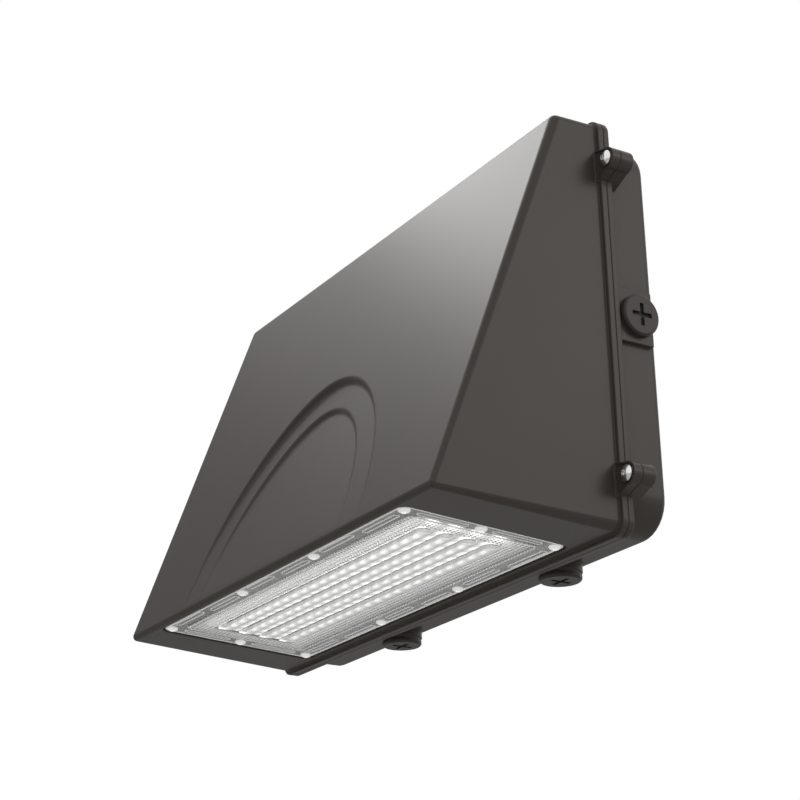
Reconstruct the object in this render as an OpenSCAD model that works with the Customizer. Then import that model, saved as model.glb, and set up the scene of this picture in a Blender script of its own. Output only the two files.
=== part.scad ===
// Wall pack light: a hinged front housing with a downward lens and LED board, on a cast back box.
// X runs across the light, -Y points out from the wall and +Z is up.
// The origin is on the wall face, at the centre of the four wall bolts.

/* [Front housing] */
// Width of the front housing where it meets its rim
housing_w = 360; // [340:1:390]
// Height of the front housing where it meets its rim
housing_h = 240; // [225:1:260]
// Reach of the nose in front of the rim
nose_reach = 115; // [113:1:130]
// Reach of the flat top in front of the rim
top_reach = 27; // [22:1:34]
// Rise of the underside from the rim to the nose
nose_rise = 7.5; // [5:0.5:10]
// Lean of each side from the rim to the nose
side_lean = 4.5; // [3:0.5:6]
// Wall of the cast front housing
housing_wall = 3; // [2.5:0.1:4]
// Rounding of the lower front edge
nose_r = 3; // [2:0.5:4]
// Rounding of the upper front and side edges
brow_r = 5; // [3:0.5:6]
// Rounding between the sides and the underside at the rim
keel_r = 6; // [5:0.5:7]

/* [Arches on the front] */
// Half width of the outer arch at its foot
arch_half_w = 104; // [80:1:120]
// Height of the outer arch up the slope
arch_rise = 133; // [110:1:150]
// Depth of the outer arch below the slope at its top
arch_depth = 4.5; // [2:0.5:6]
// Half width of the inner arch at its foot
inner_arch_half_w = 84; // [60:1:90]
// Height of the inner arch up the slope
inner_arch_rise = 105; // [80:1:110]
// Depth of the inner arch below the outer one at its top
inner_arch_depth = 3; // [1.5:0.5:4]
// Distance from the nose at which the arches begin
arch_foot = 6; // [5:0.5:10]

/* [Rims and gasket] */
// How far the rims stand out past the housing walls
rim_proud = 2.4; // [1.5:0.1:4]
// Thickness of each rim
rim_t = 3.8; // [3.4:0.1:5]
// Width of the gasket between the rims
gasket_w = 3; // [2.5:0.1:3.4]
// Depth of the gasket groove
gasket_t = 2; // [1.5:0.1:2.6]
// Distance from the outside of the rim to the gasket
gasket_inset = 1.8; // [1.2:0.1:2.2]

/* [Back box] */
// Depth of the back box from the wall to its parting face
box_depth = 31; // [28:1:38]
// How far the box walls lie inside the housing walls
box_inset = 2; // [1:0.5:4]
// Extra inset of the box at its top and bottom
box_drop = 2; // [0:0.5:4]
// Corner radius of the back box
box_corner_r = 20; // [14:1:26]
// Rounding of the rear edge of the back box
box_edge_r = 4; // [2:0.5:5]
// Wall of the cast back box
box_wall = 3; // [2.5:0.1:4]

/* [Wall fixing] */
// Spacing of the wall bolts across
wall_bolt_x = 300; // [260:1:310]
// Spacing of the wall bolts up and down
wall_bolt_z = 170; // [140:1:180]
// Radius of the wall bolt holes
wall_bolt_r = 3.25; // [2.6:0.05:4.5]
// Radius of the boss round each wall bolt
wall_boss_r = 9; // [7:0.5:11]
// Height of the boss round each wall bolt
wall_boss_h = 4; // [2:0.5:6]
// Radius of the rear wire entry
entry_r = 11.2; // [9:0.1:14]
// Radius of the thick disc round the wire entry and slots
entry_disc_r = 66; // [64:1:70]
// Thickness that the disc adds to the rear wall
entry_disc_t = 2.5; // [1.5:0.5:4]
// Spacing of the junction box slots
slot_spacing = 88.9; // [83:0.1:96]
// Length of each junction box slot
slot_l = 14; // [10:0.5:18]
// Half width of each junction box slot
slot_r = 2.5; // [2:0.1:3]
// Inner radius of the wall seal
seal_inner_r = 56; // [55.5:0.1:57]
// Width of the wall seal
seal_w = 6; // [4:0.5:7]
// Depth of the groove that holds the wall seal
seal_t = 2; // [1:0.5:3]

/* [Lens and screws] */
// Width of the lens seat at each end of the lens
seat_end_w = 10.5; // [10:0.1:14]
// Width of the lens seat along the front and back of the lens
seat_side_w = 9.5; // [9:0.1:10]
// Distance from the nose to the front edge of the lens
lens_front_in = 6; // [5.5:0.1:7]
// Thickness of the lens plate
lens_t = 2.5; // [2:0.1:3]
// How deep the lens lies in the underside
lens_recess = 1.2; // [0.5:0.1:2]
// Gap all round the lens in its pocket
lens_gap = 1; // [0.5:0.1:1.2]
// Thickness of the lens gasket
lens_gasket_t = 1; // [0.6:0.1:1.5]
// Rounding of the lens corners
lens_corner_r = 5; // [3:0.5:7]
// Shank radius of the lens screws
lens_screw_r = 1.95; // [1.5:0.05:2]
// Head radius of the lens screws
lens_screw_head_r = 3.5; // [3:0.1:3.6]
// Head height of the lens screws
lens_screw_head_h = 2; // [1.4:0.1:2.4]
// Distance of the screw centres from the ends of the lens
lens_screw_in_x = 5.7; // [5.2:0.1:6]
// Distance of the screw centres from the long edges of the lens
lens_screw_in_y = 4.5; // [4.2:0.1:5]

/* [LED board] */
// Number of rows of LEDs
led_rows = 4; // [2:2:4]
// Number of LEDs in a row
led_count = 21; // [11:1:21]
// Distance from the ends of the board to the middle of the last LED
led_end_in = 11.5; // [8:0.5:16]
// Spacing of the rows
row_pitch = 14.3; // [12:0.1:14.6]
// Side of one LED
led_side = 3.5; // [2.8:0.1:4]
// Height of one LED
led_h = 0.8; // [0.6:0.1:1]
// Gap between the LEDs and the lens
led_gap = 0.8; // [0.4:0.1:1.5]
// Width of the LED board
board_w = 244; // [234:1:262]
// Depth of the LED board
board_d = 62; // [60:1:63]
// Gap between the board and the lens seat at each end
board_end_gap = 8.5; // [5:0.1:12]
// Gap between the board and the lens seat in front and behind
board_side_gap = 11.5; // [9:0.1:12]
// Thickness of the LED board
board_t = 1.6; // [1:0.1:2]
// Thickness of the pad between board and housing
pad_t = 0.5; // [0.3:0.1:1]

/* [Screws of the front housing] */
// Distance of the captive screws beyond the housing side
lug_out = 10; // [9:0.5:12]
// Distance of the captive screws and hinges from the top and bottom of the housing
lug_in = 28; // [24:1:40]
// Radius of the round end of each lug
lug_r = 6.5; // [6.2:0.1:8]
// How far the front lugs stand in front of the rim
lug_proud = 2; // [1:0.5:4]
// Thickness of the rear lugs
rear_lug_t = 9; // [8:0.5:12]
// Shank radius of the captive screws
captive_r = 2.5; // [2:0.1:3]
// Head radius of the captive screws
captive_head_r = 4.6; // [4:0.1:5]
// Head height of the captive screws
captive_head_h = 2.8; // [2.2:0.1:3.4]
// Washer thickness under the captive screws
washer_t = 0.8; // [0.5:0.1:1.2]

/* [Hinge] */
// Distance of the hinge axis beyond the rim
hinge_out = 6; // [5.8:0.1:8]
// Radius of the hinge knuckles
knuckle_r = 5; // [4.2:0.1:5.2]
// Length of the middle knuckle
knuckle_l = 14; // [10:1:20]
// Length of each outer knuckle
ear_l = 8; // [6:0.5:12]
// Radius of the hinge pins
pin_r = 2; // [1.5:0.1:2.4]

/* [Conduit plugs] */
// How far the plugs sit behind the middle of the box's depth
plug_setback = 1; // [0.6:0.1:1.5]
// Radius of the threaded part of a plug
plug_r = 10.4; // [9:0.1:10.8]
// Radius of a plug head
plug_head_r = 12.2; // [11.8:0.1:12.6]
// Thickness of a plug head
plug_head_t = 3.2; // [2.5:0.1:4]
// Length of the threaded part of a plug
plug_l = 10; // [9:0.5:12]
// Thickness of the ring under a plug head
ring_t = 1; // [0.6:0.1:1.5]
// Length of the bosses under the box
boss_l = 4.5; // [3:0.5:6]
// Thickness of the pad on the side of the box
side_pad_t = 3; // [2:0.5:4]
// Height of the pad on the side of the box
side_pad_h = 32; // [30:1:36]
// Height of the side plug above the middle
side_plug_z = 4.5; // [0:0.5:10]
// Place of the right bottom plug
right_plug_x = 99.5; // [80:0.5:110]
// Place of the left bottom plug
left_plug_x = -66.5; // [-90:0.5:-60]

/* [Driver tray] */
// Height of the tray
tray_h = 150; // [140:1:160]
// Sheet thickness of the tray
tray_t = 1.5; // [1:0.1:2]
// Depth of the folds along the tray's top and bottom
tray_fold = 9; // [6:0.5:14]
// Height of the tray screws above and below the middle
tray_screw_z = 55; // [45:1:60]
// Radius of the bosses behind the tray
tray_boss_r = 5; // [4:0.5:6]
// Length of the bosses behind the tray
tray_boss_l = 14; // [10:1:18]
// Width of the LED driver
driver_w = 172; // [140:1:180]
// Height of the LED driver
driver_h = 42; // [36:1:48]
// Depth of the LED driver
driver_d = 32; // [26:1:36]
// Distance of the driver's middle from the lower edge of the tray
driver_edge_in = 39; // [35:1:41]
// Width of the surge protector
surge_w = 52; // [44:1:60]
// Height of the surge protector
surge_h = 34; // [28:1:40]
// Depth of the surge protector
surge_d = 26; // [20:1:30]
// Radius of the wires' outer sheath
lead_r = 2.4; // [1.8:0.1:2.6]

/* [Hidden] */

$fn = 64;
// Overrun of every cut past the face that it opens
over = 1;
// Depth to which a rib, boss or shank reaches into the solid that carries it
sink = 0.5;
// Number of sides of a ball in the outside hulls, and in the cavity's hull
ball_fn = 32;
cavity_fn = 16;
// Number of straight pieces in an arch outline
arch_steps = 48;
// Clearance of a turning fit, on the radius
turn_gap = 0.05;
// Clearance of a captive screw or plug in the bore that stands for its thread, on the radius
thread_gap = 0.3;
// Clearance of a screw or lead in a plain hole, on the radius
hole_gap = 0.35;

// Planes and corners of the light
parting_y = -box_depth;
rim_y = parting_y - rim_t;
half_w = housing_w / 2;
half_h = housing_h / 2;
nose_y = rim_y - nose_reach;
nose_z = nose_rise - half_h;
brow_y = rim_y - top_reach;

// Angles of the underside and the slope, and how fast the sides close in
floor_angle = atan2(nose_rise, nose_reach);
slope_angle = atan2(half_h - nose_z, brow_y - nose_y);
lean = side_lean / nose_reach;
lean_stretch = sqrt(1 + lean * lean);

// Corner radius of the cavity
cavity_r = 2;

// Steps of the pocket above the underside, measured square to it
ledge_h = lens_recess + lens_t;
gasket_top = ledge_h + lens_gasket_t;
led_face = ledge_h + led_gap;
board_face = led_face + led_h;
pad_face = board_face + board_t;
pocket_top = pad_face + pad_t;
floor_top = pocket_top + housing_wall;

// Spacing of the LEDs in a row
led_pitch = (board_w - 2 * led_end_in) / (led_count - 1);

// Well round the LED board, and the lens that covers the well and its seat
well_w = board_w + 2 * board_end_gap;
well_d = board_d + 2 * board_side_gap;
lens_w = well_w + 2 * seat_end_w;
lens_d = well_d + 2 * seat_side_w;

// Distance from the rim to the middle of the lens, along the underside
lens_mid = nose_reach / cos(floor_angle) - lens_front_in - lens_d / 2;

// Places of the lens screws as half spacings, with the inner ones at a share of the outer
screw_x = lens_w / 2 - lens_screw_in_x;
screw_y = lens_d / 2 - lens_screw_in_y;
screw_third_share = 0.31;
// Metal left over a blind screw hole, and the room at the screw's tip
blind_t = 1;

// Ridge of the lens over each LED row: height, width and run past the last LED
ridge_h = 1.2;
ridge_w = 9;
ridge_end = 8;
// Raised bead all round the lens: height, width and distance from the edge
bead_h = 0.6;
bead_w = 1.6;
bead_in = 11;

// Back box, and the bolt and wire features on its rear wall
box_half_w = half_w - box_inset;
box_half_h = half_h - box_inset - box_drop;
inner_corner_r = box_corner_r - box_wall;
ground_x = -95;
ground_z = -70;
ground_boss_r = 5;
ground_boss_l = 6;
ground_head_r = 3.9;

// Captive screws: place, pocket of the front lug, and foot of the lug above and below the screw
captive_x = half_w + lug_out;
lug_z = half_h - lug_in;
lug_face_y = rim_y - lug_proud;
lug_pocket_t = 1;
lug_lip = 1.2;
lug_above = 9;
lug_below = 12;
// How far a captive screw stops short of the rear face of its rear lug
captive_short = 2;
captive_l = washer_t + lug_proud - lug_pocket_t + rim_t + rear_lug_t - captive_short;
// Straight rim, dome and hexagon socket of a captive screw's head
captive_rim = 0.8;
captive_dome_h = captive_head_h - captive_rim;
captive_dome_r = (captive_head_r * captive_head_r + captive_dome_h * captive_dome_h) / (2 * captive_dome_h);
hex_r = 1.7;
hex_t = 1.6;

// Hinge: axis, gap between knuckles, web to the rims and head of the pin
hinge_x = -(half_w + rim_proud + hinge_out);
hinge_gap = 0.3;
hinge_web = 4;
pin_head_r = 3;
pin_head_t = 1.2;

// Conduit plugs: place, chamfer of the head, crossed slot and the bosses round their bores
plug_y = -box_depth / 2 + plug_setback;
plug_chamfer = 1;
plug_slot_l = 13;
plug_slot_w = 2.2;
plug_slot_t = 1.6;
ring_in = 0.5;
boss_margin = 0.4;
boss_r = plug_head_r + boss_margin;
inner_boss_margin = 1.6;
inner_boss_r = plug_head_r + inner_boss_margin;
inner_boss_l = 2;

// Fins over the LED board: thickness, height, number and the share of the lens that they span
fin_t = 2;
fin_h = 9;
fin_count = 9;
fin_share = 0.75;

// Small screws of the front housing
small_screw_r = 1.5;
small_head_r = 2.9;
small_head_h = 1.8;
small_screw_l = 8;
// Height, width and depth of the crossed recess in a small head, as shares of the head
recess_w_share = 0.24;
recess_t_share = 0.55;

// Screws of the LED board: distance from its edges, and steps of the LED pitch from the middle, half
// a step past a share of the row
board_screw_in = 4.4;
board_screw_share = 0.375;
board_screw_steps = floor(board_screw_share * (led_count - 1)) + 1 / 2;
board_corner_r = 2;

// Tray: how far it lies behind the rim, gap to the walls, corners, screws and the ends of its folds
tray_set = 0.5;
tray_y = rim_y + tray_set;
tray_edge_gap = 1.5;
tray_half_w = half_w - housing_wall - tray_edge_gap;
tray_corner_r = 2;
tray_screw_in = 9;
tray_screw_x = tray_half_w - tray_screw_in;
tray_fold_in = 18;
tray_rib_t = 4;

// Driver: place, and the tabs and corners that it shares with the surge protector
driver_x = -12;
driver_drop = tray_h / 2 - driver_edge_in;
tab_w = 9;
tab_t = 2;
case_r = 3;
driver_end = driver_w / 2;

// Surge protector: place of its middle, and its screw at the right end
surge_x = -95;
surge_edge_in = 41;
surge_z = tray_h / 2 - surge_edge_in;
surge_screw_x = surge_x + surge_w / 2 - tab_w / 2;

// Terminal block: place, size, poles, corners and screws
terminal_x = 60;
terminal_z = surge_z;
terminal_w = 48;
terminal_h = 20;
terminal_d = 17;
terminal_foot_t = 6;
terminal_pole = 11;
terminal_hole_r = 2.2;
terminal_r = 1.5;
terminal_screw_in = 4;
terminal_screw_x = terminal_w / 2 - terminal_screw_in;
// How far the lead reaches into the terminal block
lead_bite = 4;

// Leads: distance of the LED lead from the board's end, bends, and the grommet that it passes
lead_board_in = 5;
lead_x = board_w / 2 - lead_board_in;
lead_hole_y = rim_y - lens_mid + row_pitch;
lead_run = 6;
lead_bend_r = 8;
grommet_wall = 1.5;
grommet_r = lead_r + grommet_wall;
grommet_flange_w = 1;
grommet_flange_t = 1.2;

// Height of a point that lies a distance d above the underside, at a place y
function floor_z(y, d) = -half_h + tan(floor_angle) * (rim_y - y) + d / cos(floor_angle);

// Where two lines cross, each given by a point and a direction
function cross2(a, b) = a[0] * b[1] - a[1] * b[0];
function meet(p, u, q, v) = p + u * cross2(q - p, v) / cross2(u, v);

// Unit directions in the Y-Z plane along the underside, the slope and the top
floor_dir = [-cos(floor_angle), sin(floor_angle)];
slope_dir = [cos(slope_angle), sin(slope_angle)];
top_dir = [1, 0];

// Points that lie a distance in from the faces that meet there, in the Y-Z plane
function floor_in(d) = [rim_y, -half_h] + d * [floor_dir[1], -floor_dir[0]];
function slope_in(d) = [nose_y, nose_z] + d * [slope_dir[1], -slope_dir[0]];
function top_in(d) = [brow_y, half_h - d];
function floor_point(y, d) = meet(floor_in(d), floor_dir, [y, 0], [0, 1]);
function nose_point(df, ds) = meet(floor_in(df), floor_dir, slope_in(ds), slope_dir);
function brow_point(ds, dt) = meet(slope_in(ds), slope_dir, top_in(dt), top_dir);
function side_at(y, d) = half_w - lean * (rim_y - y) - d * lean_stretch;

// Rectangle with round corners
module rounded_rect(w, h, r) {
    square([w - 2 * r, h], center = true);
    square([w, h - 2 * r], center = true);
    for (x = [-1, 1], y = [-1, 1])
        translate([x * (w / 2 - r), y * (h / 2 - r)]) circle(r);
}

// Stands an outline up so that it runs from y0 to y1, seen from the front
module along_y(y0, y1) {
    translate([0, y1, 0]) rotate([90, 0, 0])
        linear_extrude(y1 - y0) children();
}

// A round bar along Y
module bar_y(x, z, r, y0, y1) {
    translate([x, y1, z]) rotate([90, 0, 0]) cylinder(r = r, h = y1 - y0);
}

// A round bar along X
module bar_x(y, z, r, x0, x1) {
    translate([x0, y, z]) rotate([0, 90, 0]) cylinder(r = r, h = x1 - x0);
}

// Frame of the underside: x across, y back along it from its middle, z up into the housing
module on_floor() {
    translate([0, rim_y, -half_h]) rotate([-floor_angle, 0, 0]) translate([0, -lens_mid, 0]) children();
}

// Frame of the slope: x across, y up the slope from the nose, z outwards
module on_slope() {
    translate([0, nose_y, nose_z]) rotate([slope_angle, 0, 0]) children();
}

// A ball on each side of the middle, at a point of the Y-Z plane, touching the side walls
module ball_pair(p, r, d, n) {
    for (s = [-1, 1])
        translate([s * side_at(p[0], d + r), p[0], p[1]]) sphere(r = r, $fn = n);
}

// Outside of the wedge, with rounded edges
module wedge_outside() {
    hull() {
        ball_pair(nose_point(nose_r, nose_r), nose_r, 0, ball_fn);
        ball_pair(brow_point(brow_r, brow_r), brow_r, 0, ball_fn);
        ball_pair([parting_y, half_h - brow_r], brow_r, 0, ball_fn);
        ball_pair(floor_point(parting_y, keel_r), keel_r, 0, ball_fn);
    }
}

// Hollow of the wedge, open towards the back box
module wedge_cavity() {
    d = housing_wall + cavity_r;
    low = floor_top + cavity_r;
    back_y = parting_y + over + cavity_r;
    hull() {
        ball_pair(nose_point(low, d), cavity_r, housing_wall, cavity_fn);
        ball_pair(brow_point(d, d), cavity_r, housing_wall, cavity_fn);
        ball_pair([back_y, half_h - d], cavity_r, housing_wall, cavity_fn);
        ball_pair(floor_point(back_y, low), cavity_r, housing_wall, cavity_fn);
    }
}

// Half an ellipse that stands on the X axis
module half_ellipse(a, b) {
    polygon([for (i = [0 : arch_steps]) [a * cos(180 * i / arch_steps), b * sin(180 * i / arch_steps)]]);
}

// Sinks with height, so an arch is deepest at its top and runs out at its foot
module arch_plane(depth, rise) {
    on_slope() translate([0, arch_foot, 0]) rotate([-atan2(depth, rise - arch_foot), 0, 0]) children();
}

// One sunk arch, with walls that open outwards
module arch_cut(half, rise, depth, wall_depth) {
    a = half - wall_depth / 2;
    b = rise - arch_foot - wall_depth;
    h = depth + over;
    arch_plane(depth, rise)
        linear_extrude(h, scale = [(a + h) / a, (b + h) / b], slices = 1) half_ellipse(a, b);
}

// Metal behind one sunk arch
module arch_backing(half, rise, depth) {
    arch_plane(depth, rise) translate([0, 0, -housing_wall])
        linear_extrude(depth + 2 * housing_wall)
            half_ellipse(half + housing_wall, rise - arch_foot + housing_wall);
}

inner_floor_depth = arch_depth * inner_arch_rise / arch_rise + inner_arch_depth;

module arches() {
    arch_cut(arch_half_w, arch_rise, arch_depth, arch_depth);
    arch_cut(inner_arch_half_w, inner_arch_rise, inner_floor_depth, inner_arch_depth);
}

module arch_backings() {
    arch_backing(arch_half_w, arch_rise, arch_depth);
    arch_backing(inner_arch_half_w, inner_arch_rise, inner_floor_depth);
}

// Outline of both rims
module rim_outline(inset) {
    rounded_rect(housing_w + 2 * rim_proud - 2 * inset, housing_h + 2 * rim_proud - 2 * inset,
        keel_r + rim_proud - inset);
}

// Outline of a captive screw lug in the X-Z plane, centred on its screw, with its root at -X
module lug_outline(inset, root) {
    circle(lug_r - inset);
    polygon([
        [0, lug_r - inset],
        [-root, lug_above - inset],
        [-root, -lug_below + inset],
        [0, -lug_r + inset]]);
}

// The ten lens screw places on the underside
module at_lens_screws() {
    on_floor() {
        for (x = [-screw_x, -screw_x * screw_third_share, screw_x * screw_third_share, screw_x],
            y = [-screw_y, screw_y])
            translate([x, y, 0]) children();
        for (x = [-screw_x, screw_x]) translate([x, 0, 0]) children();
    }
}

// Places of the LED board screws on the underside
module at_board_screws() {
    for (x = [-1, 1], y = [-1, 1])
        translate([x * (board_w / 2 - board_screw_in), y * (board_d / 2 - board_screw_in), 0]) children();
    for (x = [-1, 0, 1]) translate([x * led_pitch * board_screw_steps, 0, 0]) children();
}

// Places of the tray screws
module at_tray_screws() {
    for (x = [-tray_screw_x, tray_screw_x], z = [-tray_screw_z, tray_screw_z])
        translate([x, tray_y, z]) children();
}

// Boss in front of the tray, with a rib that ties it to the side wall on its right
module tray_boss() {
    bar_y(0, 0, tray_boss_r, -tray_boss_l, 0);
    translate([0, -tray_boss_l, -tray_rib_t / 2])
        cube([tray_screw_in + tray_edge_gap + sink, tray_boss_l, tray_rib_t]);
}

// Screw with a round head, its seat at the origin and its shank along -Z
module pan_screw(shank_r, shank_l, head_r, head_h) {
    steps = 8;
    end_angle = 72;
    slot_w = head_r * recess_w_share;
    difference() {
        union() {
            translate([0, 0, -shank_l]) cylinder(r = shank_r, h = shank_l + head_h / 2);
            rotate_extrude() polygon(concat(
                [[0, 0]],
                [for (i = [0 : steps]) let (a = end_angle * i / steps)
                    [head_r * cos(a), head_h * sin(a) / sin(end_angle)]],
                [[0, head_h]]));
        }
        for (a = [0, 90]) rotate([0, 0, a])
            translate([-head_r / 2, -slot_w / 2, head_h - head_h * recess_t_share])
                cube([head_r, slot_w, head_h]);
    }
}

module front_housing() {
    color("#4a4440") difference() {
        union() {
            difference() {
                union() {
                    intersection() {
                        wedge_outside();
                        translate([-housing_w, nose_y - over, -housing_h])
                            cube([2 * housing_w, parting_y - nose_y + over, 2 * housing_h]);
                    }
                    along_y(rim_y, parting_y) rim_outline(0);
                    for (s = [-1, 1]) translate([captive_x, 0, s * lug_z])
                        along_y(lug_face_y, parting_y) lug_outline(0, lug_out + rim_proud);
                }
                difference() {
                    wedge_cavity();
                    arch_backings();
                }
                arches();
            }
            for (i = [0 : fin_count - 1]) let (x = (i / (fin_count - 1) - 1 / 2) * lens_w * fin_share)
                on_floor() translate([x - fin_t / 2, -board_d / 2, floor_top - sink])
                    cube([fin_t, board_d, fin_h + sink]);
            for (s = [0, 1], z = [-tray_screw_z, tray_screw_z]) mirror([s, 0, 0])
                translate([tray_screw_x, tray_y, z]) tray_boss();
            for (s = [-1, 1]) housing_knuckle(s * lug_z);
        }
        on_floor() {
            translate([0, 0, -over]) linear_extrude(gasket_top + over)
                rounded_rect(lens_w + 2 * lens_gap, lens_d + 2 * lens_gap, lens_corner_r + lens_gap);
            linear_extrude(pocket_top) rounded_rect(well_w, well_d, lens_corner_r);
            at_board_screws() translate([0, 0, pocket_top - over])
                cylinder(r = small_screw_r + turn_gap, h = housing_wall + over);
        }
        at_lead_hole() translate([0, 0, pocket_top - over])
            cylinder(r = grommet_r, h = housing_wall + 2 * over);
        at_lens_screws() translate([0, 0, gasket_top - over])
            cylinder(r = lens_screw_r + turn_gap, h = floor_top - blind_t - gasket_top + over);
        at_tray_screws() bar_y(0, 0, small_screw_r + turn_gap, -tray_boss_l + blind_t, over);
        for (s = [-1, 1]) translate([captive_x, 0, s * lug_z]) {
            along_y(lug_face_y - over, lug_face_y + lug_pocket_t) lug_outline(lug_lip, lug_out - lug_lip);
            bar_y(0, 0, captive_r + hole_gap, lug_face_y - over, parting_y + over);
        }
        for (s = [-1, 1]) translate([hinge_x, parting_y, s * lug_z - knuckle_l / 2 - over])
            cylinder(r = pin_r + turn_gap, h = knuckle_l + 2 * over);
    }
}

// Middle knuckle of a hinge, with the web that joins it to the front rim
module housing_knuckle(z) {
    translate([hinge_x, parting_y, z - knuckle_l / 2]) {
        cylinder(r = knuckle_r, h = knuckle_l);
        translate([0, -hinge_web, 0]) cube([hinge_out + sink, hinge_web, knuckle_l]);
    }
}

// Outer knuckles of a hinge, with the webs that join them to the box rim
module box_knuckles(z) {
    for (s = [-1, 1]) translate([hinge_x, parting_y,
        z + s * (knuckle_l / 2 + hinge_gap + ear_l / 2) - ear_l / 2]) {
        cylinder(r = knuckle_r, h = ear_l);
        cube([hinge_out + sink, hinge_web, ear_l]);
    }
}

// Outside of the back box with a rounded rear edge
module box_outside() {
    hull() for (x = [-1, 1], z = [-1, 1])
        translate([x * (box_half_w - box_corner_r), 0, z * (box_half_h - box_corner_r)])
            rotate([90, 0, 0]) rotate_extrude($fn = ball_fn) {
                square([box_corner_r - box_edge_r, box_depth]);
                translate([0, box_edge_r]) square([box_corner_r, box_depth - box_edge_r]);
                translate([box_corner_r - box_edge_r, box_edge_r]) circle(box_edge_r, $fn = ball_fn);
            }
}

module back_box() {
    color("#4a4440") difference() {
        union() {
            difference() {
                union() {
                    box_outside();
                    along_y(parting_y, parting_y + rim_t) rim_outline(0);
                }
                along_y(parting_y - over, -box_wall)
                    rounded_rect(2 * (box_half_w - box_wall), 2 * (box_half_h - box_wall), inner_corner_r);
            }
            for (s = [-1, 1]) {
                translate([captive_x, 0, s * lug_z])
                    along_y(parting_y, parting_y + rear_lug_t) lug_outline(0, lug_out + rim_proud);
                box_knuckles(s * lug_z);
            }
            bar_y(0, 0, entry_disc_r, -box_wall - entry_disc_t, -box_wall + sink);
            for (x = [-1, 1], z = [-1, 1])
                bar_y(x * wall_bolt_x / 2, z * wall_bolt_z / 2, wall_boss_r,
                    -box_wall - wall_boss_h, -box_wall + sink);
            bar_y(ground_x, ground_z, ground_boss_r, -box_wall - ground_boss_l, -box_wall + sink);
            side_pad();
            for (x = [right_plug_x, left_plug_x]) bottom_boss(x);
        }
        for (s = [-1, 1]) {
            bar_y(captive_x, s * lug_z, captive_r + thread_gap, parting_y - over,
                parting_y + rear_lug_t + over);
            translate([hinge_x, parting_y, s * lug_z - knuckle_l - ear_l])
                cylinder(r = pin_r + turn_gap / 2, h = 2 * (knuckle_l + ear_l));
        }
        along_y(parting_y - over, parting_y + gasket_t) gasket_ring();
        bar_y(0, 0, entry_r, -box_depth, over);
        along_y(-box_depth, over) for (x = [-1, 1])
            translate([x * slot_spacing / 2, 0]) slot_outline();
        for (x = [-1, 1], z = [-1, 1])
            bar_y(x * wall_bolt_x / 2, z * wall_bolt_z / 2, wall_bolt_r, -box_depth, over);
        along_y(-seal_t, over) seal_ring();
        bar_y(ground_x, ground_z, small_screw_r + hole_gap, -box_wall - ground_boss_l - over, -box_wall);
        translate([box_half_w, plug_y, side_plug_z]) rotate([0, 90, 0]) plug_bore();
        for (x = [right_plug_x, left_plug_x])
            translate([x, plug_y, -box_half_h]) rotate([180, 0, 0]) plug_bore();
    }
}

// A slot outline that runs across
module slot_outline() {
    square([slot_l - 2 * slot_r, 2 * slot_r], center = true);
    for (x = [-1, 1]) translate([x * (slot_l / 2 - slot_r), 0]) circle(slot_r);
}

module seal_ring() {
    difference() {
        circle(seal_inner_r + seal_w);
        circle(seal_inner_r);
    }
}

module gasket_ring() {
    difference() {
        rim_outline(gasket_inset);
        rim_outline(gasket_inset + gasket_w);
    }
}

// Flat pad on the side of the box round the side plug
module side_pad() {
    depth = box_depth - rim_t - box_edge_r;
    translate([box_half_w - box_wall, -depth - box_edge_r, side_plug_z - side_pad_h / 2])
        cube([box_wall + side_pad_t, depth, side_pad_h]);
    bar_x(plug_y, side_plug_z, inner_boss_r,
        box_half_w - box_wall - inner_boss_l, box_half_w - box_wall / 2);
}

// Round boss under the box for a bottom plug
module bottom_boss(x) {
    translate([x, plug_y, -box_half_h - boss_l]) cylinder(r = boss_r, h = boss_l + box_wall / 2);
    translate([x, plug_y, -box_half_h + box_wall / 2])
        cylinder(r = inner_boss_r, h = inner_boss_l + box_wall / 2);
}

// Bore of a conduit entry, centred on the outside of the wall
module plug_bore() {
    translate([0, 0, -box_wall - inner_boss_l - over])
        cylinder(r = plug_r + thread_gap, h = box_wall + inner_boss_l + boss_l + side_pad_t + 2 * over);
}

module wall_seal() {
    color("#2b2b2d") along_y(-seal_t, 0) seal_ring();
}

module housing_gasket() {
    color("#3a3a3c") along_y(parting_y, parting_y + gasket_t) gasket_ring();
}

module hinge_pins() {
    l = knuckle_l + 2 * hinge_gap + 2 * ear_l;
    color("#b9b9b6") for (s = [-1, 1]) translate([hinge_x, parting_y, s * lug_z - l / 2]) {
        cylinder(r = pin_r, h = l + pin_head_t / 2);
        translate([0, 0, l]) cylinder(r = pin_head_r, h = pin_head_t);
    }
}

module ground_screw() {
    color("#3f7d4f") translate([ground_x, -box_wall - ground_boss_l, ground_z]) rotate([90, 0, 0])
        pan_screw(small_screw_r, ground_boss_l, ground_head_r, small_head_h);
}

module lens_gasket() {
    color("#8d9091") difference() {
        on_floor() translate([0, 0, ledge_h]) linear_extrude(lens_gasket_t) difference() {
            rounded_rect(lens_w, lens_d, lens_corner_r);
            rounded_rect(well_w, well_d, lens_corner_r);
        }
        at_lens_screws() cylinder(r = lens_screw_r + hole_gap, h = floor_top);
    }
}

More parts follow.
